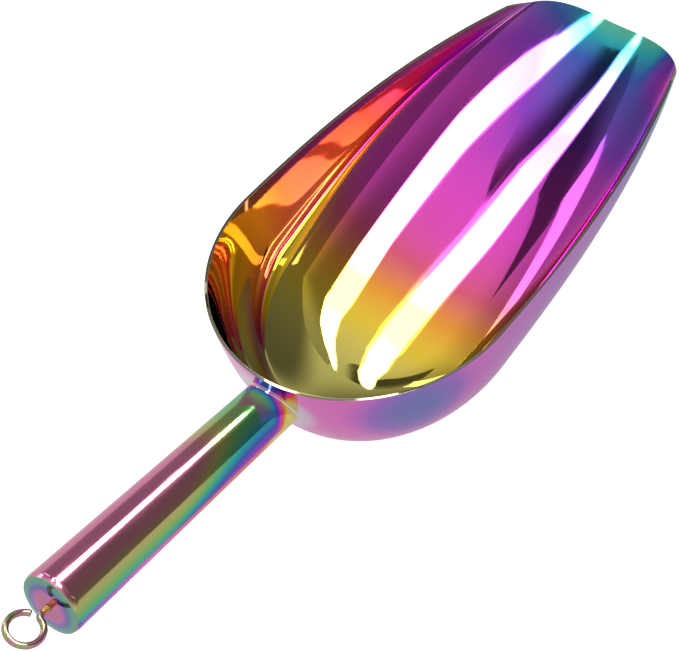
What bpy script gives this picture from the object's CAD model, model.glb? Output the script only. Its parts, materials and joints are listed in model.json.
"""Looks of the ice scoop: fine polished surfaces under a rainbow film, and a plain studio.

Every piece but the nut is bent from a bmesh grid or spun from a profile, in metres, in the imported
part's frame. The film is a metal whose colour follows the film's depth over the surface.
"""

import json
from math import acos, cos, pi, radians, sin, sqrt

import bmesh
import bpy
from bpy.props import FloatProperty, FloatVectorProperty, IntProperty, PointerProperty
from mathutils import Euler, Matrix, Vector


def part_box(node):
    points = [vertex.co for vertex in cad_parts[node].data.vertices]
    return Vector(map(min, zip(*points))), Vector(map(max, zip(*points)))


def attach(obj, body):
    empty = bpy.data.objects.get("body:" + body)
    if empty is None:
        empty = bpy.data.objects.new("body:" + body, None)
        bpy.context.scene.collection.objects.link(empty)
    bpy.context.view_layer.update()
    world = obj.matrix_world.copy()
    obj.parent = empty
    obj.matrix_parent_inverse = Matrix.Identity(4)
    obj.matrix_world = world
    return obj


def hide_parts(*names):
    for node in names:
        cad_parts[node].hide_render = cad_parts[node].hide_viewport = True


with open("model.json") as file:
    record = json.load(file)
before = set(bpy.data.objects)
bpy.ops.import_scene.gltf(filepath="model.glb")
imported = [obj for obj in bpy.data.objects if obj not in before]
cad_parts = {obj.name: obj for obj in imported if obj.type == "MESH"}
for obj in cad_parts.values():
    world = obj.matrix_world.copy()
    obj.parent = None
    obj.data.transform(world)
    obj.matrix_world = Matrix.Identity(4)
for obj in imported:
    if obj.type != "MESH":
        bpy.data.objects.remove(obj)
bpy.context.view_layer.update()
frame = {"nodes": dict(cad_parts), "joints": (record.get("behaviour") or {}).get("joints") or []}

bl_info = {
    "name": "Rainbow Ice Scoop",
    "version": (1, 0, 0),
    "blender": (4, 5, 0),
    "location": "View3D > Sidebar > Scoop",
    "description": "Models the polished pieces of an ice scoop and the studio they stand in",
    "category": "Object",
}

IMAGE_WIDTH = 679
SENSOR_WIDTH = 36.0

REAR_RIM = Vector((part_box("scoop_bowl")[0].x, 0, 0))
EYE_JOINT = frame["joints"][0]
HANDLE_AXIS = Vector(EYE_JOINT["axis"]).normalized()
HANDLE_TAIL = Vector(EYE_JOINT["pos_m"])
HANDLE_ACROSS = Vector((0, 1, 0))
HANDLE_UP = HANDLE_AXIS.cross(HANDLE_ACROSS) * -1
FORWARD = Vector((1, 0, 0))

# Share of the bowl's grid columns that go round its back, and grid rows on the floor strip
REAR_SHARE = 0.42
FLOOR_ROWS = 2
# Halvings of the search for where a line of the tube meets the bowl
SEAT_HALVINGS = 30
# Edges that turn more than these are shaded sharp or count as cut
CREASE_ANGLE = radians(50)
CUT_ANGLE = radians(60)
# The film's tints from thin to thick, as named in FilmFinish
TINTS = ("silver", "straw", "gold", "orange", "red", "magenta", "purple")
TINTS += ("blue", "teal", "green", "olive", "rose", "pink")


def length_of(name, description, default):
    return FloatProperty(name=name, description=description, default=default, unit="LENGTH", precision=5)


def share_of(name, description, default):
    return FloatProperty(name=name, description=description, default=default, precision=4)


def angle_of(name, description, degrees):
    return FloatProperty(name=name, description=description, default=radians(degrees), subtype="ANGLE")


def colour_of(name, description, default):
    return FloatVectorProperty(
        name=name, description=description, default=default, subtype="COLOR", size=3, min=0, max=1
    )


class BowlShape(bpy.types.PropertyGroup):
    """Plan, depth and sheet of the pressed bowl."""

    length: length_of("Length", "Rear rim to the middle of the mouth", 0.1684)
    half_width: length_of("Half width", "Middle plane to the rim at the widest section", 0.042)
    widest: length_of("Widest section", "Distance of the widest section from the rear rim", 0.0466)
    narrowing: share_of("Narrowing", "Share of the width lost at the mouth", 0.432)
    narrowing_power: share_of("Narrowing power", "How late the sides draw in", 2.42)
    rear_depth: length_of("Rear depth", "Rim height at the back", 0.0536)
    mouth_depth: length_of("Mouth depth", "Rim height at the mouth", 0.0045)
    rim_fall: share_of("Rim fall", "Share of the rim's fall that is straight", 0.825)
    section_power: share_of("Section power", "Fullness of the section at the sides", 2.88)
    rear_power: share_of("Rear power", "Fullness of the section at the back", 3.3)
    floor_half_width: length_of("Floor strip", "Half the width of the flat floor strip", 0.004)
    floor_dish: length_of("Floor dish", "Extra lift of the floor halfway out to the rim", 0.0010)
    mouth_bow: length_of("Mouth bow", "How far the middle of the mouth stands forward", 0.0024)
    corner_setback: length_of("Corner setback", "How far the mouth's corners draw back", 0.0125)
    corner_power: share_of("Corner power", "Sharpness of the mouth's corners", 4.0)
    sheet: length_of("Sheet", "Thickness of the sheet", 0.0009)
    rim_round: length_of("Rim round", "Rounding of the cut rim", 0.0002)
    columns: IntProperty(name="Columns", description="Grid columns round half the rim", default=150)
    rows: IntProperty(name="Rows", description="Grid rows from the keel to the rim", default=56)


class HandleShape(bpy.types.PropertyGroup):
    """Tube, weld and end cap of the handle."""

    length: length_of("Length", "Rear rim to the face of the cap, along the axis", 0.0865)
    neck_radius: length_of("Neck radius", "Tube radius at the bowl", 0.00757)
    tail_radius: length_of("Tail radius", "Tube radius at the cap", 0.00883)
    wall: length_of("Wall", "Thickness of the tube and cap", 0.0010)
    weld_leg: length_of("Weld leg", "Width of the weld on the tube and on the bowl", 0.0009)
    weld_hollow: share_of("Weld hollow", "How far the weld's face is hollowed", 0.45)
    weld_sunk: length_of("Weld sunk", "How far the weld reaches into the tube and the bowl", 0.0001)
    cap_skirt: length_of("Cap skirt", "Length of the cap's side", 0.0024)
    cap_flare: length_of("Cap flare", "Length over which the side draws in to the edge", 0.0018)
    cap_draw: length_of("Cap draw", "How far the side draws in", 0.00028)
    cap_edge: length_of("Cap edge", "Radius of the cap's edge", 0.0004)
    cap_dome: length_of("Cap dome", "Rise of the cap's face", 0.0005)
    cap_pad: length_of("Cap pad", "Radius of the flat round the shank", 0.0028)
    cap_hole: length_of("Cap hole", "Radius of the hole for the shank", 0.00096)
    around: IntProperty(name="Around", description="Steps round the handle", default=128)
    rows: IntProperty(name="Rows", description="Grid rows along the tube", default=50)
    weld_rows: IntProperty(name="Weld rows", description="Grid rows across the weld", default=24)


class EyeShape(bpy.types.PropertyGroup):
    """Bent wire of the screw eye."""

    ring_radius: length_of("Ring radius", "Radius of the ring's centre line", 0.00450)
    wire_radius: length_of("Wire radius", "Radius of the wire", 0.00088)
    standoff: length_of("Standoff", "Cap face to the middle of the ring", 0.0082)
    bend_radius: length_of("Bend radius", "Bend between the shank and the ring", 0.0016)
    gap_angle: angle_of("Gap angle", "Angle between the cut end and the shank", 22)
    turn: angle_of("Turn", "How far the ring is turned about the handle", 171.1)
    shank: length_of("Shank", "Length of the shank behind the cap's face", 0.0049)
    thread_pitch: length_of("Thread pitch", "Rise of the thread in one turn", 0.00055)
    thread_depth: length_of("Thread depth", "Depth of the thread", 0.00012)
    end_round: length_of("End round", "Rounding of the cut end", 0.00025)
    around: IntProperty(name="Around", description="Steps round the wire", default=32)
    rows: IntProperty(name="Rows", description="Grid rows along the wire", default=420)


class FilmFinish(bpy.types.PropertyGroup):
    """Colours of the film, from thin to thick, and the polish under it."""

    silver: colour_of("Silver", "Bare polished steel", (0.62, 0.62, 0.68))
    straw: colour_of("Straw", "Thinnest tint", (0.84, 0.78, 0.22))
    gold: colour_of("Gold", "Gold tint", (0.90, 0.64, 0.06))
    orange: colour_of("Orange", "Orange tint", (0.86, 0.33, 0.05))
    red: colour_of("Red", "Red tint", (0.74, 0.12, 0.20))
    magenta: colour_of("Magenta", "Magenta tint", (0.78, 0.08, 0.56))
    purple: colour_of("Purple", "Purple tint", (0.30, 0.06, 0.56))
    blue: colour_of("Blue", "Blue tint", (0.06, 0.12, 0.48))
    teal: colour_of("Teal", "Teal tint", (0.03, 0.38, 0.42))
    green: colour_of("Green", "Green tint", (0.16, 0.50, 0.18))
    olive: colour_of("Olive", "Olive tint", (0.46, 0.46, 0.14))
    rose: colour_of("Rose", "Rose tint", (0.62, 0.24, 0.28))
    pink: colour_of("Pink", "Thickest tint", (0.74, 0.22, 0.42))
    plain: colour_of("Plain", "Steel without a film", (0.55, 0.55, 0.56))
    cloud: share_of("Cloud", "How much the film's depth drifts", 0.04)
    roughness: share_of("Roughness", "Roughness of the mirror polish", 0.03)
    wave: length_of("Wave", "Height of the sheet's slow waves", 0.00004)
    scratch: length_of("Scratch", "Depth of the polishing lines", 0.0000007)


class StudioSetup(bpy.types.PropertyGroup):
    """Camera, floor and soft lights."""

    camera_place: FloatVectorProperty(
        name="Camera place",
        description="Where the camera stands",
        default=(-0.16351, -0.20077, 0.49580),
        subtype="TRANSLATION",
    )
    camera_turn: FloatVectorProperty(
        name="Camera turn",
        description="How the camera is turned",
        default=(radians(27.353), radians(9.220), radians(-54.890)),
        subtype="EULER",
    )
    focal_pixels: share_of("Focal length", "Focal length in pixels of the image's width", 1962.6)
    floor_size: length_of("Floor", "Half the side of the floor", 3.0)
    floor_drop: length_of("Floor drop", "Gap under the scoop", 0.0002)
    floor_colour: colour_of("Floor colour", "Pale floor", (0.80, 0.80, 0.80))
    floor_glow: share_of("Floor glow", "Glow that brings the seen floor up to white", 0.80)
    floor_mirrored: share_of("Mirrored glow", "Share of that glow that the steel mirrors", 0.2)
    horizon: share_of("Horizon", "Brightness of the room at the sides", 0.95)
    zenith: share_of("Zenith", "Brightness of the room overhead", 0.92)
    softbox: share_of("Softbox", "Glow of the bright cards", 14.0)
    lamp: share_of("Lamp", "Glow of the lamps at the side", 5.0)
    panel: share_of("Panel", "Glow of the dimmer cards", 3.0)
    card_height: length_of("Card height", "Height of the bright cards", 1.0)
    glow_height: length_of("Glow height", "Height of the wider cards behind them", 1.005)
    flag_height: length_of("Flag height", "Height of the dim cards behind those", 1.01)
    low_height: length_of("Low height", "Height of the slim card over the handle", 0.10)
    fringe: length_of("Fringe", "How far the wider cards show at each side", 0.012)
    card_distance: length_of("Card distance", "How far the upright cards stand from the scoop", 1.0)


class ScoopSettings(bpy.types.PropertyGroup):
    """All the scoop's settings."""

    bowl: PointerProperty(type=BowlShape)
    handle: PointerProperty(type=HandleShape)
    eye: PointerProperty(type=EyeShape)
    film: PointerProperty(type=FilmFinish)
    studio: PointerProperty(type=StudioSetup)


def settings():
    return bpy.context.scene.scoop


def smooth_share(value, low, high):
    share = min(max((value - low) / (high - low), 0.0), 1.0)
    return share * share * (3 - 2 * share)


def rim_height(bowl, x):
    run = x / bowl.length
    fall = bowl.rim_fall * run + (1 - bowl.rim_fall) * run**2
    return bowl.rear_depth - (bowl.rear_depth - bowl.mouth_depth) * fall


def half_width(bowl, x):
    run = max(x - bowl.widest, 0.0) / (bowl.length - bowl.widest)
    return bowl.half_width * (1 - bowl.narrowing * run**bowl.narrowing_power)


def mouth_edge(bowl, out):
    corner = 1 - max(1 - out**bowl.corner_power, 0.0) ** (1 / bowl.corner_power)
    return bowl.length - bowl.mouth_bow * out**2 - bowl.corner_setback * corner


def section_power(bowl, sideways):
    return bowl.rear_power + (bowl.section_power - bowl.rear_power) * sideways**2


def wall_height(bowl, out, spread, rim, power):
    """Height at a share out from the floor strip, spread being the share from the middle."""
    dish = bowl.floor_dish * 4 * spread**2 * (1 - spread**2)
    return dish + rim * (1 - max(1 - out**power, 0.0) ** (1 / power))


def even_out(lift, power):
    """Share of the way out for an even step up the section, finer where it turns."""
    angle = lift * pi / 2
    return sin(angle) ** (2 / power)


def bowl_point(bowl, along, up):
    """Outer surface, along -1 to 1 round the rim and up 0 to 1 from the keel."""
    floor_share = FLOOR_ROWS / bowl.rows
    lift = max(up - floor_share, 0.0) / (1 - floor_share)
    strip = bowl.floor_half_width * min(up / floor_share, 1.0)
    side = 1 if along > 0 else -1
    turn = min(abs(along) / REAR_SHARE, 1.0) * pi / 2
    power = section_power(bowl, sin(turn))
    out = even_out(lift, power)
    if abs(along) < REAR_SHARE:
        rim_x = bowl.widest * (1 - cos(turn))
        reach = Vector((rim_x - bowl.widest, bowl.half_width * sin(turn)))
        plan = reach.normalized() * (strip + out * (reach.length - bowl.floor_half_width))
        spread = plan.length / reach.length
        height = wall_height(bowl, out, spread, rim_height(bowl, rim_x), power)
        return REAR_RIM + Vector((bowl.widest + plan.x, side * plan.y, height))
    run = (abs(along) - REAR_SHARE) / (1 - REAR_SHARE)
    x = bowl.widest + run * (mouth_edge(bowl, out) - bowl.widest)
    y = strip + out * (half_width(bowl, x) - bowl.floor_half_width)
    height = wall_height(bowl, out, y / half_width(bowl, x), rim_height(bowl, x), power)
    return REAR_RIM + Vector((x, side * y, height))


def inside_bowl(bowl, point):
    """Whether a point behind the widest section is within the bowl's outer surface."""
    local = point - REAR_RIM
    reach = Vector((bowl.widest - local.x, local.y))
    bearing = Vector((reach.x / bowl.widest, reach.y / bowl.half_width)).normalized()
    rim = Vector((bowl.widest * bearing.x, bowl.half_width * bearing.y))
    flat = bowl.floor_half_width
    out = max(reach.length - flat, 0.0) / (rim.length - flat)
    power = section_power(bowl, bearing.y)
    rim_z = rim_height(bowl, bowl.widest - rim.x)
    return out < 1 and local.z > wall_height(bowl, out, reach.length / rim.length, rim_z, power)


def handle_foot(handle):
    """Where the handle's axis starts, at the rear rim."""
    return HANDLE_TAIL - HANDLE_AXIS * handle.length


def handle_point(handle, radius, angle, along):
    """A point of the handle, along measured from the rear rim towards the tail."""
    ring = HANDLE_ACROSS * cos(angle) + HANDLE_UP * sin(angle)
    return handle_foot(handle) + HANDLE_AXIS * along + ring * radius


def seat(bowl, handle, radius, angle):
    """How far along the handle the bowl's wall is met."""
    deep = -bowl.widest / 2
    clear = handle.neck_radius + handle.weld_leg
    for _ in range(SEAT_HALVINGS):
        middle = (deep + clear) / 2
        if inside_bowl(bowl, handle_point(handle, radius, angle, middle)):
            deep = middle
        else:
            clear = middle
    return clear


def tube_radius(handle, along):
    return handle.neck_radius + (handle.tail_radius - handle.neck_radius) * along / handle.length


def shares(steps):
    """Even shares from 0 to 1."""
    return [step / steps for step in range(steps + 1)]


def arc(centre, radius, start, stop, steps):
    angles = [start + (stop - start) * share for share in shares(steps)]
    return [(centre[0] + radius * cos(a), centre[1] + radius * sin(a)) for a in angles]


def bent_grid(across, along, shape, weld):
    """A grid whose vertices go where shape puts them, with its meeting edges welded."""
    bm = bmesh.new()
    bmesh.ops.create_grid(bm, x_segments=across, y_segments=along, size=1)
    for vert in bm.verts:
        vert.co = shape(vert.co.x, (vert.co.y + 1) / 2)
    bmesh.ops.remove_doubles(bm, verts=bm.verts, dist=weld)
    bmesh.ops.recalc_face_normals(bm, faces=bm.faces)
    return bm


def keep_piece(name, bm, materials, body, nodes):
    """Turns a finished bmesh into a smooth piece that stands for its CAD node."""
    data = bpy.data.meshes.new(name)
    bm.to_mesh(data)
    bm.free()
    data.shade_smooth()
    for material in materials:
        data.materials.append(material)
    piece = bpy.data.objects.new(name, data)
    bpy.context.scene.collection.objects.link(piece)
    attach(piece, body)
    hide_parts(*nodes)
    return piece


class FilmTree:
    """A metal's node tree, with short calls for the nodes that a film needs."""

    def __init__(self, name):
        self.material = bpy.data.materials.new(name)
        self.material.use_nodes = True
        self.tree = self.material.node_tree
        self.shader = self.tree.nodes["Principled BSDF"]
        self.place = self.tree.nodes.new("ShaderNodeTexCoord").outputs["Object"]
        split = self.tree.nodes.new("ShaderNodeSeparateXYZ")
        self.link(self.place, split.inputs[0])
        _, self.y, self.z = split.outputs

    def link(self, source, target):
        """Joins a socket to an input, or sets a plain value on it."""
        if isinstance(source, bpy.types.NodeSocket):
            self.tree.links.new(source, target)
        else:
            target.default_value = source

    def math(self, operation, first, second=0.0):
        node = self.tree.nodes.new("ShaderNodeMath")
        node.operation = operation
        self.link(first, node.inputs[0])
        self.link(second, node.inputs[1])
        return node.outputs[0]

    def add(self, first, second):
        return self.math("ADD", first, second)

    def scale(self, first, second):
        return self.math("MULTIPLY", first, second)

    def along(self, origin, direction):
        """Distance from origin measured along a direction."""
        node = self.tree.nodes.new("ShaderNodeVectorMath")
        node.operation = "DOT_PRODUCT"
        self.link(self.place, node.inputs[0])
        node.inputs[1].default_value = direction
        return self.math("SUBTRACT", node.outputs["Value"], origin.dot(direction))

    def between(self, value, low, high, first=0.0, last=1.0):
        """A smooth step from first to last while value goes from low to high."""
        node = self.tree.nodes.new("ShaderNodeMapRange")
        node.interpolation_type = "SMOOTHERSTEP"
        self.link(value, node.inputs["Value"])
        node.inputs["From Min"].default_value = low
        node.inputs["From Max"].default_value = high
        node.inputs["To Min"].default_value = first
        node.inputs["To Max"].default_value = last
        return node.outputs["Result"]

    def noise(self, scale, stretch=(1, 1, 1), detail=2.0):
        """A drifting value near a half, stretched along the axes."""
        mapping = self.tree.nodes.new("ShaderNodeMapping")
        self.link(self.place, mapping.inputs["Vector"])
        mapping.inputs["Scale"].default_value = stretch
        node = self.tree.nodes.new("ShaderNodeTexNoise")
        self.link(mapping.outputs[0], node.inputs["Vector"])
        node.inputs["Scale"].default_value = scale
        node.inputs["Detail"].default_value = detail
        return node.outputs["Fac"]

    def distance(self, centre):
        """Distance from a point."""
        node = self.tree.nodes.new("ShaderNodeVectorMath")
        node.operation = "DISTANCE"
        self.link(self.place, node.inputs[0])
        node.inputs[1].default_value = centre
        return node.outputs["Value"]

    def bump(self, height, distance, below=None):
        """A normal for a height, over another one where it is given."""
        node = self.tree.nodes.new("ShaderNodeBump")
        node.inputs["Strength"].default_value = 1.0
        node.inputs["Distance"].default_value = distance
        self.link(height, node.inputs["Height"])
        if below:
            self.link(below, node.inputs["Normal"])
        return node.outputs[0]

    def film_colour(self, film, depth):
        """Colour of the film at a depth from 0, bare steel, to 1."""
        ramp = self.tree.nodes.new("ShaderNodeValToRGB")
        stops = ramp.color_ramp.elements
        for number, tint in enumerate(TINTS):
            place = tint_step(number)
            stop = stops[0] if number == 0 else stops[-1] if number == 1 else stops.new(place)
            stop.position = place
            stop.color = (*getattr(film, tint), 1)
        self.link(depth, ramp.inputs[0])
        return ramp.outputs["Color"]

    def finish(
        self, film, depth, lines=(40, 900, 900), wave_scale=26.0, wave_share=1.0, veil=0.0, gloss=1.0
    ):
        """Mirror polish with slow waves and fine polishing lines, tinted by the film.

        The veil is a share of bare steel over the tint, and gloss widens the polish's blur.
        """
        cloud = self.scale(self.add(self.noise(45, detail=3), -0.5), film.cloud)
        veiled = self.tree.nodes.new("ShaderNodeMix")
        veiled.data_type = "RGBA"
        self.link(veil, veiled.inputs["Factor"])
        self.link(self.film_colour(film, self.add(depth, cloud)), veiled.inputs["A"])
        veiled.inputs["B"].default_value = (*film.silver, 1)
        self.colour = veiled.outputs["Result"]
        self.link(self.colour, self.shader.inputs["Base Color"])
        self.shader.inputs["Metallic"].default_value = 1.0
        grain = self.noise(1.0, lines, detail=4)
        rough = film.roughness * gloss
        rough = self.between(grain, 0.35, 0.8, rough * 0.7, rough * 1.6)
        self.link(rough, self.shader.inputs["Roughness"])
        waves = self.bump(self.noise(wave_scale, detail=1), film.wave * wave_share)
        self.link(self.bump(grain, film.scratch, waves), self.shader.inputs["Normal"])
        return self.material

    def darken(self, share):
        """Lowers the finished film's colour to a share of itself."""
        node = self.tree.nodes.new("ShaderNodeVectorMath")
        node.operation = "SCALE"
        self.link(self.colour, node.inputs[0])
        self.link(share, node.inputs["Scale"])
        self.link(node.outputs[0], self.shader.inputs["Base Color"])
        return self.material


def tint_step(number):
    """Film depth of the tint with this number, counted from bare steel."""
    return number / (len(TINTS) - 1)


def run_forward(made, bowl):
    """Share of the way from the rear rim to the mouth."""
    return made.scale(made.along(REAR_RIM, FORWARD), 1 / bowl.length)


def bowl_inside_film(bowl, film):
    """Straw at the back, magenta in the middle and teal at the mouth, thinner up both walls."""
    made = FilmTree("film_bowl_inside")
    thinnest = tint_step(1.1)
    run = run_forward(made, bowl)
    # Thicker towards the mouth, in three overlapping steps
    depth = made.between(run, 0.10, 0.58, thinnest, tint_step(5.0))
    depth = made.add(depth, made.between(run, 0.48, 1.02, 0.0, tint_step(2.1)))
    depth = made.add(depth, made.between(run, 0.88, 1.03, 0.0, tint_step(1.5)))
    # Thinner up the left wall and beside the right rim, but not at the back
    height = made.add(made.z, made.between(run, 0.7, 1.0, 0.0, 0.008))
    width = made.between(run, 0.35, 1.0, bowl.half_width, bowl.half_width * (1 - bowl.narrowing))
    side = made.math("DIVIDE", made.y, width)
    wall = made.scale(made.between(height, 0.008, 0.020), made.between(side, 0.0, 0.5))
    left = made.scale(wall, -tint_step(3.4))
    right = made.between(run, 0.55, 0.95, -tint_step(3.5), -tint_step(2.0))
    right = made.scale(right, made.between(side, -0.92, -0.65, 1.0, 0.0))
    right = made.scale(right, made.between(height, 0.006, 0.014))
    thin = made.scale(made.add(left, right), made.between(run, 0.2, 0.45))
    lean = made.scale(made.between(side, 0.1, 0.7, 0.0, -tint_step(0.9)), made.between(run, 0.5, 0.85))
    depth = made.math("MAXIMUM", made.add(made.add(depth, thin), lean), thinnest)
    made.finish(film, depth, lines=(30, 700, 700), wave_scale=22.0, veil=made.scale(wall, 0.6))
    # Darker at the back, except on the left wall
    dim = made.math("MAXIMUM", made.between(run, 0.08, 0.36, 0.45, 1.0), wall)
    return made.darken(dim)


def bowl_outside_film(bowl, handle, film):
    """Magenta behind the neck, a blue patch beside it and mauve along the sides."""
    made = FilmTree("film_bowl_outside")
    spot = REAR_RIM + Vector((0.4 * bowl.widest, -0.78 * bowl.half_width, 0.72 * bowl.rear_depth))
    near = made.between(made.distance(spot), 0.002, 0.024, tint_step(1.9), 0.0)
    run = run_forward(made, bowl)
    side = made.between(run, 0.0, 0.5, tint_step(4.9), tint_step(5.6))
    front = made.between(run, 0.5, 1.0, 0.0, tint_step(2.0))
    keel = made.between(made.z, 0.0, 0.3 * bowl.rear_depth, tint_step(0.9), 0.0)
    depth = made.add(made.add(made.add(side, front), keel), near)
    off_neck = made.scale(made.distance(handle_foot(handle)), 1 / handle.neck_radius)
    veil = made.between(off_neck, 1.2, 2.0, 0.9, 0.15)
    return made.finish(film, depth, wave_scale=18.0, veil=veil, gloss=3.0)


def rim_film(film):
    """Dark, nearly bare steel on the cut rim."""
    made = FilmTree("film_rim")
    depth = made.scale(made.noise(60, detail=1), tint_step(1.0))
    made.finish(film, depth, wave_share=0.0, gloss=2.0)
    return made.darken(0.3)


def handle_film(handle, film, name):
    """Bands of quick change at the neck, then rose on top and green to blue down the sides."""
    made = FilmTree(name)
    crest = radians(80)
    spread = radians(105)
    foot = handle_foot(handle)
    along = made.along(foot, HANDLE_AXIS)
    level = made.along(foot, HANDLE_UP)
    angle = made.math("ARCTAN2", level, made.y)
    lean = made.math("ABSOLUTE", made.math("SUBTRACT", angle, crest))
    grazing = made.math("POWER", made.scale(lean, 1 / spread), 2.0)
    grazing = made.math("MINIMUM", grazing, 1.3)
    late = made.scale(along, made.math("SUBTRACT", 1.0, made.scale(grazing, 0.45)))
    neck = made.between(late, -0.001, 0.0070, tint_step(1.2), tint_step(9.2))
    body = made.between(late, 0.008, 0.042, 0.0, tint_step(2.6))
    depth = made.math("SUBTRACT", made.add(neck, body), made.scale(grazing, tint_step(4.2)))
    depth = made.math("MAXIMUM", depth, tint_step(1))
    return made.finish(film, depth, lines=(60, 500, 60), wave_scale=60.0, gloss=3.6)


def cap_film(handle, film):
    """Rings of tint from the flat round the shank out to the edge."""
    made = FilmTree("film_cap")
    out = made.scale(made.distance(HANDLE_TAIL), 1 / handle.tail_radius)
    depth = made.between(out, 0.3, 1.0, tint_step(4.4), tint_step(8.8))
    made.finish(film, depth, wave_scale=80.0, veil=0.3)
    return made.darken(0.75)


def weld_film(film):
    """Nearly bare steel with a rippled surface."""
    made = FilmTree("film_weld")
    depth = made.scale(made.noise(300, detail=2), tint_step(0.4))
    return made.finish(film, depth, wave_scale=400.0)


def eye_film(eye, film):
    """Gold on the shank and mixed tints round the ring."""
    made = FilmTree("film_eye")
    along = made.along(HANDLE_TAIL, HANDLE_AXIS)
    bend = eye.standoff - eye.ring_radius
    shank = made.between(along, 0.6 * bend, 1.2 * bend, tint_step(1.8), tint_step(10.8))
    ring = made.scale(made.add(made.noise(240, detail=1), -0.5), tint_step(6.0))
    made.finish(film, made.add(shank, ring), wave_share=0.0, veil=0.15)
    return made.darken(0.75)


class SCOOP_OT_bowl(bpy.types.Operator):
    """Bends the bowl's sheet and gives it its thickness and rounded rim."""

    bl_idname = "scoop.bowl"
    bl_label = "Bowl"

    def execute(self, context):
        scoop = settings()
        bowl = scoop.bowl
        weld = bowl.sheet / 1000
        bm = bent_grid(2 * bowl.columns, bowl.rows, lambda a, u: bowl_point(bowl, a, u), weld)
        lowest = min(bm.faces, key=lambda face: face.calc_center_median().z)
        if lowest.normal.z > 0:
            bmesh.ops.reverse_faces(bm, faces=bm.faces)
        films = [
            bowl_outside_film(bowl, scoop.handle, scoop.film),
            bowl_inside_film(bowl, scoop.film),
            rim_film(scoop.film),
        ]
        piece = keep_piece("bowl_sheet", bm, films, "scoop", ["scoop_bowl"])
        sheet = piece.modifiers.new("sheet", "SOLIDIFY")
        sheet.thickness = bowl.sheet
        sheet.offset = -1
        sheet.use_even_offset = True
        sheet.material_offset = 1
        sheet.material_offset_rim = 2
        edge = piece.modifiers.new("rim", "BEVEL")
        edge.width = bowl.rim_round
        edge.segments = 2
        edge.limit_method = "ANGLE"
        edge.angle_limit = CUT_ANGLE
        edge.harden_normals = True
        return {"FINISHED"}


class SCOOP_OT_tube(bpy.types.Operator):
    """Bends the tapered tube, with its foot cut to the bowl's back."""

    bl_idname = "scoop.tube"
    bl_label = "Handle tube"

    def execute(self, context):
        scoop = settings()
        bowl, handle = scoop.bowl, scoop.handle
        end = handle.length - handle.cap_skirt
        rows = handle.rows

        def shape(around, up):
            """Up the outside to the tail in the first half, and back down the inside."""
            angle = around * pi
            wall = handle.wall if up > 0.5 else 0.0
            foot = seat(bowl, handle, handle.neck_radius - wall, angle)
            along = foot + (end - foot) * (1 - abs(2 * up - 1)) * (rows + 1) / rows
            along = min(along, end)
            return handle_point(handle, tube_radius(handle, along) - wall, angle, along)

        bm = bent_grid(handle.around, 2 * rows + 1, shape, handle.wall / 1000)
        bmesh.ops.bridge_loops(bm, edges=[edge for edge in bm.edges if edge.is_boundary])
        bmesh.ops.recalc_face_normals(bm, faces=bm.faces)
        film = handle_film(handle, scoop.film, "film_handle")
        piece = keep_piece("handle_tube_fine", bm, [film], "scoop", ["handle_tube"])
        piece.data.set_sharp_from_angle(angle=CREASE_ANGLE)
        return {"FINISHED"}


class SCOOP_OT_weld(bpy.types.Operator):
    """Bends the weld round the foot of the tube."""

    bl_idname = "scoop.weld"
    bl_label = "Weld"

    def execute(self, context):
        scoop = settings()
        bowl, handle = scoop.bowl, scoop.handle
        sunk = handle.weld_sunk

        def shape(around, across):
            """Down the tube, out along the bowl and back over the hollow face."""
            angle = around * pi
            top = handle.neck_radius - sunk
            leg = handle.weld_leg
            inner = seat(bowl, handle, top, angle) - sunk
            outer = seat(bowl, handle, top + leg, angle) - sunk
            share = 3 * across
            if share < 1:
                return handle_point(handle, top, angle, inner + leg * (1 - share))
            if share < 2:
                radius = top + leg * (share - 1)
                return handle_point(handle, radius, angle, seat(bowl, handle, radius, angle) - sunk)
            back = 3 - share
            sag = 1 - handle.weld_hollow * sin(pi * back)
            along = outer * back + inner * (1 - back) + leg * (1 - back) * sag
            return handle_point(handle, top + leg * back * sag, angle, along)

        bm = bent_grid(handle.around, handle.weld_rows, shape, sunk / 100)
        keep_piece("weld_bead", bm, [weld_film(scoop.film)], "scoop", ["handle_weld"])
        return {"FINISHED"}


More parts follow.
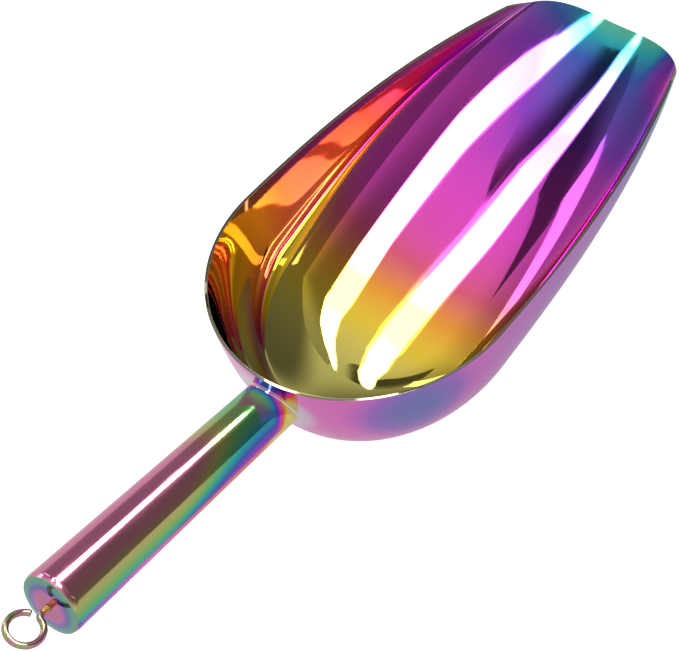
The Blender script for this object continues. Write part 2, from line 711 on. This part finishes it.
class SCOOP_OT_cap(bpy.types.Operator):
    """Spins the end cap."""

    bl_idname = "scoop.cap"
    bl_label = "End cap"

    def execute(self, context):
        scoop = settings()
        handle = scoop.handle
        foot = handle.length - handle.cap_skirt
        face = handle.length - handle.cap_dome
        rim = handle.tail_radius - handle.cap_draw
        start = face - handle.cap_edge - handle.cap_flare
        flare = [
            (handle.tail_radius - handle.cap_draw * share**2, start + handle.cap_flare * share)
            for share in shares(10)
        ]
        edge = (rim - handle.cap_edge, face - handle.cap_edge)
        crown = edge[0] - handle.cap_pad
        domed = [
            (edge[0] - crown * share, handle.length - handle.cap_dome * (1 - share) ** 2)
            for share in shares(12)[1:]
        ]
        profile = [
            (tube_radius(handle, foot) - handle.wall, foot),
            (tube_radius(handle, foot), foot),
            *flare,
            *arc(edge, handle.cap_edge, 0, pi / 2, 4)[1:],
            *domed,
            (handle.cap_hole, handle.length),
            (handle.cap_hole, handle.length - handle.wall),
            (edge[0] - handle.wall, face - handle.wall),
        ]
        bm = bmesh.new()
        corners = [bm.verts.new(handle_point(handle, radius, 0, along)) for radius, along in profile]
        edges = [bm.edges.new(pair) for pair in zip(corners, corners[1:] + corners[:1])]
        bmesh.ops.spin(
            bm,
            geom=corners + edges,
            cent=HANDLE_TAIL,
            axis=HANDLE_AXIS,
            angle=2 * pi,
            steps=handle.around,
            use_merge=True,
        )
        bmesh.ops.remove_doubles(bm, verts=bm.verts, dist=handle.wall / 1000)
        bmesh.ops.recalc_face_normals(bm, faces=bm.faces)
        films = [handle_film(handle, scoop.film, "film_cap_side"), cap_film(handle, scoop.film)]
        piece = keep_piece("cap_turned", bm, films, "scoop", ["end_cap"])
        face_depth = handle.cap_dome + 0.6 * handle.cap_edge
        for polygon in piece.data.polygons:
            if (polygon.center - HANDLE_TAIL).dot(HANDLE_AXIS) > -face_depth:
                polygon.material_index = 1
        piece.data.set_sharp_from_angle(angle=CREASE_ANGLE)
        return {"FINISHED"}


class SCOOP_OT_eye(bpy.types.Operator):
    """Bends the wire of the screw eye and cuts its thread."""

    bl_idname = "scoop.eye"
    bl_label = "Screw eye"

    def execute(self, context):
        scoop = settings()
        eye = scoop.eye
        across = HANDLE_ACROSS * cos(eye.turn) - HANDLE_UP * sin(eye.turn)
        normal = HANDLE_AXIS.cross(across)
        bend_start = eye.standoff - sqrt(eye.ring_radius**2 + 2 * eye.ring_radius * eye.bend_radius)
        meet = acos(eye.bend_radius / (eye.ring_radius + eye.bend_radius))
        shank = bend_start + eye.shank
        bend = eye.bend_radius * meet
        ring = eye.ring_radius * (1.5 * pi - eye.gap_angle + meet)
        total = shank + bend + ring

        def centre(run):
            """Place and direction of the wire's centre line, across and along the handle."""
            if run < shank:
                return Vector((0, run - eye.shank)), Vector((0, 1))
            if run < shank + bend:
                angle = pi - (run - shank) / eye.bend_radius
                spoke = Vector((cos(angle), sin(angle)))
                middle = Vector((eye.bend_radius, bend_start))
                return middle + spoke * eye.bend_radius, Vector((spoke.y, -spoke.x))
            angle = -meet + (run - shank - bend) / eye.ring_radius
            spoke = Vector((cos(angle), sin(angle)))
            return Vector((0, eye.standoff)) + spoke * eye.ring_radius, Vector((-spoke.y, spoke.x))

        def shape(around, up):
            run = total * up
            middle, ahead = centre(run)
            turn = around * pi
            radius = eye.wire_radius
            threaded = smooth_share(run, 0, eye.thread_pitch)
            threaded *= smooth_share(shank - run, 0, eye.thread_pitch)
            ridge = abs(((run / eye.thread_pitch - around / 2) % 1.0) * 2 - 1)
            radius -= eye.thread_depth * threaded * (1 - ridge)
            for left in (total - run, run):
                if left < eye.end_round:
                    radius -= eye.end_round * (1 - sqrt(max(1 - (1 - left / eye.end_round) ** 2, 0.0)))
            sideways = Vector((ahead.y, -ahead.x))
            offset = across * sideways.x + HANDLE_AXIS * sideways.y
            place = HANDLE_TAIL + across * middle.x + HANDLE_AXIS * middle.y
            return place + offset * radius * cos(turn) + normal * radius * sin(turn)

        bm = bent_grid(eye.around, eye.rows, shape, eye.end_round / 1000)
        bmesh.ops.holes_fill(bm, edges=[edge for edge in bm.edges if edge.is_boundary])
        bmesh.ops.recalc_face_normals(bm, faces=bm.faces)
        film = eye_film(eye, scoop.film)
        piece = keep_piece("eye_wire", bm, [film], "eye", ["hanging_eye"])
        piece.data.set_sharp_from_angle(angle=CUT_ANGLE)
        return {"FINISHED"}


class SCOOP_OT_nut(bpy.types.Operator):
    """Gives the nut inside the cap its plain steel."""

    bl_idname = "scoop.nut"
    bl_label = "Nut"

    def execute(self, context):
        made = FilmTree("plain_steel")
        grain = made.noise(900, detail=3)
        made.shader.inputs["Base Color"].default_value = (*settings().film.plain, 1)
        made.shader.inputs["Metallic"].default_value = 1.0
        made.link(made.between(grain, 0.3, 0.7, 0.25, 0.45), made.shader.inputs["Roughness"])
        nut = frame["nodes"]["eye_nut"]
        nut.data.materials.clear()
        nut.data.materials.append(made.material)
        return {"FINISHED"}


def studio_camera(studio):
    data = bpy.data.cameras.new("camera")
    data.sensor_width = SENSOR_WIDTH
    data.lens = studio.focal_pixels / IMAGE_WIDTH * SENSOR_WIDTH
    camera = bpy.data.objects.new("camera", data)
    camera.location = studio.camera_place
    camera.rotation_euler = Euler(studio.camera_turn)
    bpy.context.scene.collection.objects.link(camera)
    bpy.context.scene.camera = camera


def stage_object(name, bm, material):
    """Turns a finished bmesh into a part of the studio."""
    data = bpy.data.meshes.new(name)
    bm.to_mesh(data)
    bm.free()
    data.materials.append(material)
    made = bpy.data.objects.new(name, data)
    bpy.context.scene.collection.objects.link(made)
    return made


def emitting(name, strength):
    """An even white glow."""
    material = bpy.data.materials.new(name)
    material.use_nodes = True
    nodes = material.node_tree.nodes
    nodes.clear()
    emission = nodes.new("ShaderNodeEmission")
    emission.inputs["Color"].default_value = (1, 1, 1, 1)
    emission.inputs["Strength"].default_value = strength
    output = nodes.new("ShaderNodeOutputMaterial")
    material.node_tree.links.new(emission.outputs[0], output.inputs["Surface"])
    return material


def graded_shade(name, origin, direction, reach, dark, pale):
    """A dim glow that grows paler along a direction."""
    made = FilmTree(name)
    made.shader.inputs["Base Color"].default_value = (0, 0, 0, 1)
    made.shader.inputs["Specular IOR Level"].default_value = 0.0
    made.shader.inputs["Emission Color"].default_value = (1, 1, 1, 1)
    glow = made.between(made.along(Vector(origin), direction), 0, reach, dark, pale)
    made.link(glow, made.shader.inputs["Emission Strength"])
    return made.material


def studio_card(name, corners, material):
    """A flat card that only reflections see."""
    bm = bmesh.new()
    bm.faces.new([bm.verts.new(corner) for corner in corners])
    card = stage_object(name, bm, material)
    card.visible_camera = False
    card.visible_diffuse = False
    card.visible_shadow = False


def overhead_card(name, outline, height, material):
    """A level card, outlined by its places forward and across."""
    studio_card(name, [(x, y, height) for x, y in outline], material)


def upright_card(name, outline, y, material):
    """A card that stands beside the scoop, outlined by its places forward and up."""
    studio_card(name, [(x, y, z) for x, z in outline], material)


def rectangle(left, right, low, high):
    return [(left, low), (right, low), (right, high), (left, high)]


def shifted(points, step):
    return [(x, y + step) for x, y in points]


def streak_cards(side, near, far, studio, softbox, panel):
    """A bright card between two edges, and a wider one behind it that softens them."""
    overhead_card("softbox_" + side, near + far[::-1], studio.card_height, softbox)
    outline = shifted(near, -studio.fringe) + shifted(far, studio.fringe)[::-1]
    overhead_card("glow_" + side, outline, studio.glow_height, panel)


def bright_cards(studio, softbox, panel):
    """The two long streaks in the bowl, and the highlight along the handle."""
    near = [(0.30, -0.05), (0.37, -0.22), (0.41, -0.22), (0.52, -0.12), (0.62, 0.16), (0.71, 0.28)]
    far = [(0.30, 0.13), (0.40, 0.10), (0.50, 0.15), (0.60, 0.25), (0.65, 0.28), (0.71, 0.30)]
    streak_cards("left", near, far, studio, softbox, panel)
    near = [(0.33, 0.38), (0.41, 0.40), (0.56, 0.435), (0.655, 0.50), (0.72, 0.565), (0.76, 0.63)]
    far = [(0.34, 0.46), (0.42, 0.48), (0.50, 0.535), (0.60, 0.565), (0.70, 0.635), (0.76, 0.66)]
    streak_cards("right", near, far, studio, softbox, panel)
    outline = [(-0.092, 0.001), (0.036, 0.006), (0.036, 0.027), (-0.092, 0.011)]
    overhead_card("lamp_handle", outline, studio.low_height, softbox)


def dim_cards(studio):
    """The dark zones to the left of the streaks, between them and to their right."""
    shade = graded_shade("shade_left", (0.42, 0, 0), FORWARD, 0.24, 0.22, 0.48)
    outline = [(0.36, -0.10), (0.66, 0.25), (0.74, 0.20), (0.74, -0.30), (0.62, -1.0), (0.38, -1.0)]
    overhead_card("flag_left", outline, studio.flag_height, shade)
    across = Vector((0.447, -0.894, 0))
    shade = graded_shade("shade_middle", (0.56, 0.435, 0), across, 0.13, 0.10, 0.90)
    outline = [(0.50, 0.42), (0.54, 0.36), (0.61, 0.32), (0.69, 0.34), (0.73, 0.56), (0.56, 0.435)]
    overhead_card("flag_middle", outline, studio.flag_height, shade)
    shade = graded_shade("shade_right", (0.66, 0, 0), FORWARD, 0.10, 0.10, 0.35)
    outline = [(0.585, 0.62), (0.62, 0.56), (0.70, 0.62), (0.76, 0.70), (0.74, 1.1), (0.60, 1.1)]
    overhead_card("flag_right", outline, studio.flag_height, shade)


def side_cards(studio, panel):
    """Upright cards for the bowl's walls, three on its left and a slim one on its right."""
    lamp = emitting("lamp", studio.lamp)
    left = studio.card_distance
    slanted = [(0.41, 0.36), (0.47, 0.34), (0.79, 1.06), (0.73, 1.08)]
    upright_card("panel_right", slanted, left, panel)
    upright_card("lamp_near", rectangle(0.19, 0.30, 0.30, 0.56), left, lamp)
    upright_card("lamp_back", rectangle(-0.02, 0.15, 0.28, 0.56), left, lamp)
    upright_card("panel_side", rectangle(0.45, 0.475, 0.40, 0.75), -left, panel)


def floor_material(studio):
    """Pale and matt, with a glow for the camera and a little of it for the steel."""
    material = bpy.data.materials.new("pale_floor")
    material.use_nodes = True
    tree = material.node_tree
    shader = tree.nodes["Principled BSDF"]
    shader.inputs["Base Color"].default_value = (*studio.floor_colour, 1)
    shader.inputs["Roughness"].default_value = 0.9
    shader.inputs["Specular IOR Level"].default_value = 0.0
    shader.inputs["Emission Color"].default_value = (1, 1, 1, 1)
    rays = tree.nodes.new("ShaderNodeLightPath")
    seen = tree.nodes.new("ShaderNodeMath")
    seen.operation = "MULTIPLY_ADD"
    seen.inputs[1].default_value = studio.floor_mirrored
    tree.links.new(rays.outputs["Is Glossy Ray"], seen.inputs[0])
    tree.links.new(rays.outputs["Is Camera Ray"], seen.inputs[2])
    glow = tree.nodes.new("ShaderNodeMath")
    glow.operation = "MULTIPLY"
    tree.links.new(seen.outputs[0], glow.inputs[0])
    glow.inputs[1].default_value = studio.floor_glow
    tree.links.new(glow.outputs[0], shader.inputs["Emission Strength"])
    return material


def studio_floor(studio):
    bm = bmesh.new()
    bmesh.ops.create_grid(bm, x_segments=1, y_segments=1, size=studio.floor_size)
    bmesh.ops.translate(bm, verts=bm.verts, vec=(0, 0, -studio.floor_drop))
    stage_object("floor", bm, floor_material(studio))


def grey(value):
    return (value, value, value, 1)


def shaded_corner(tree, place, colour, direction, inner, outer, value):
    """Fades the room to a grey within two angles of a direction."""
    facing = tree.nodes.new("ShaderNodeVectorMath")
    facing.operation = "DOT_PRODUCT"
    facing.inputs[1].default_value = Vector(direction).normalized()
    tree.links.new(place, facing.inputs[0])
    corner = tree.nodes.new("ShaderNodeMapRange")
    corner.interpolation_type = "SMOOTHSTEP"
    corner.inputs["From Min"].default_value = cos(radians(outer))
    corner.inputs["From Max"].default_value = cos(radians(inner))
    tree.links.new(facing.outputs["Value"], corner.inputs["Value"])
    shade = tree.nodes.new("ShaderNodeMix")
    shade.data_type = "RGBA"
    tree.links.new(corner.outputs["Result"], shade.inputs["Factor"])
    tree.links.new(colour, shade.inputs["A"])
    shade.inputs["B"].default_value = grey(value)
    return shade.outputs["Result"]


def studio_world(studio):
    """White to the camera, and to the rest a pale room with two darker corners at the front."""
    world = bpy.data.worlds.new("studio")
    bpy.context.scene.world = world
    world.use_nodes = True
    tree = world.node_tree
    tree.nodes.clear()
    place = tree.nodes.new("ShaderNodeTexCoord").outputs["Generated"]
    split = tree.nodes.new("ShaderNodeSeparateXYZ")
    tree.links.new(place, split.inputs[0])
    ramp = tree.nodes.new("ShaderNodeValToRGB")
    low, high = ramp.color_ramp.elements
    low.position = 0.05
    low.color = grey(studio.horizon)
    high.position = 0.55
    high.color = grey(studio.zenith)
    tree.links.new(split.outputs["Z"], ramp.inputs[0])
    colour = ramp.outputs["Color"]
    colour = shaded_corner(tree, place, colour, (0.72, -0.60, 0.35), 26, 50, 0.20)
    colour = shaded_corner(tree, place, colour, (0.70, 0.62, 0.30), 12, 36, 0.32)
    room = tree.nodes.new("ShaderNodeBackground")
    tree.links.new(colour, room.inputs["Color"])
    white = tree.nodes.new("ShaderNodeBackground")
    white.inputs["Color"].default_value = (1, 1, 1, 1)
    rays = tree.nodes.new("ShaderNodeLightPath")
    mix = tree.nodes.new("ShaderNodeMixShader")
    tree.links.new(rays.outputs["Is Camera Ray"], mix.inputs[0])
    tree.links.new(room.outputs[0], mix.inputs[1])
    tree.links.new(white.outputs[0], mix.inputs[2])
    output = tree.nodes.new("ShaderNodeOutputWorld")
    tree.links.new(mix.outputs[0], output.inputs["Surface"])


class SCOOP_OT_stage(bpy.types.Operator):
    """Sets the camera, the pale floor, the room and the soft lights."""

    bl_idname = "scoop.stage"
    bl_label = "Studio"

    def execute(self, context):
        studio = settings().studio
        studio_camera(studio)
        studio_floor(studio)
        studio_world(studio)
        softbox = emitting("softbox", studio.softbox)
        panel = emitting("panel", studio.panel)
        bright_cards(studio, softbox, panel)
        dim_cards(studio)
        side_cards(studio, panel)
        bpy.context.scene.view_settings.view_transform = "Standard"
        return {"FINISHED"}


PIECE_OPERATORS = (
    SCOOP_OT_bowl,
    SCOOP_OT_tube,
    SCOOP_OT_weld,
    SCOOP_OT_cap,
    SCOOP_OT_eye,
    SCOOP_OT_nut,
    SCOOP_OT_stage,
)


class SCOOP_PT_sidebar(bpy.types.Panel):
    """Buttons for the scoop's pieces."""

    bl_idname = "SCOOP_PT_sidebar"
    bl_label = "Ice scoop"
    bl_space_type = "VIEW_3D"
    bl_region_type = "UI"
    bl_category = "Scoop"

    def draw(self, context):
        for operator in PIECE_OPERATORS:
            self.layout.operator(operator.bl_idname)


PROPERTY_GROUPS = (BowlShape, HandleShape, EyeShape, FilmFinish, StudioSetup, ScoopSettings)


def register():
    for part in (*PROPERTY_GROUPS, *PIECE_OPERATORS, SCOOP_PT_sidebar):
        bpy.utils.register_class(part)
    bpy.types.Scene.scoop = PointerProperty(type=ScoopSettings)


def unregister():
    del bpy.types.Scene.scoop
    for part in reversed((*PROPERTY_GROUPS, *PIECE_OPERATORS, SCOOP_PT_sidebar)):
        bpy.utils.unregister_class(part)


def main():
    register()
    bpy.ops.scoop.bowl()
    bpy.ops.scoop.tube()
    bpy.ops.scoop.weld()
    bpy.ops.scoop.cap()
    bpy.ops.scoop.eye()
    bpy.ops.scoop.nut()
    bpy.ops.scoop.stage()


if __name__ == "__main__":
    main()
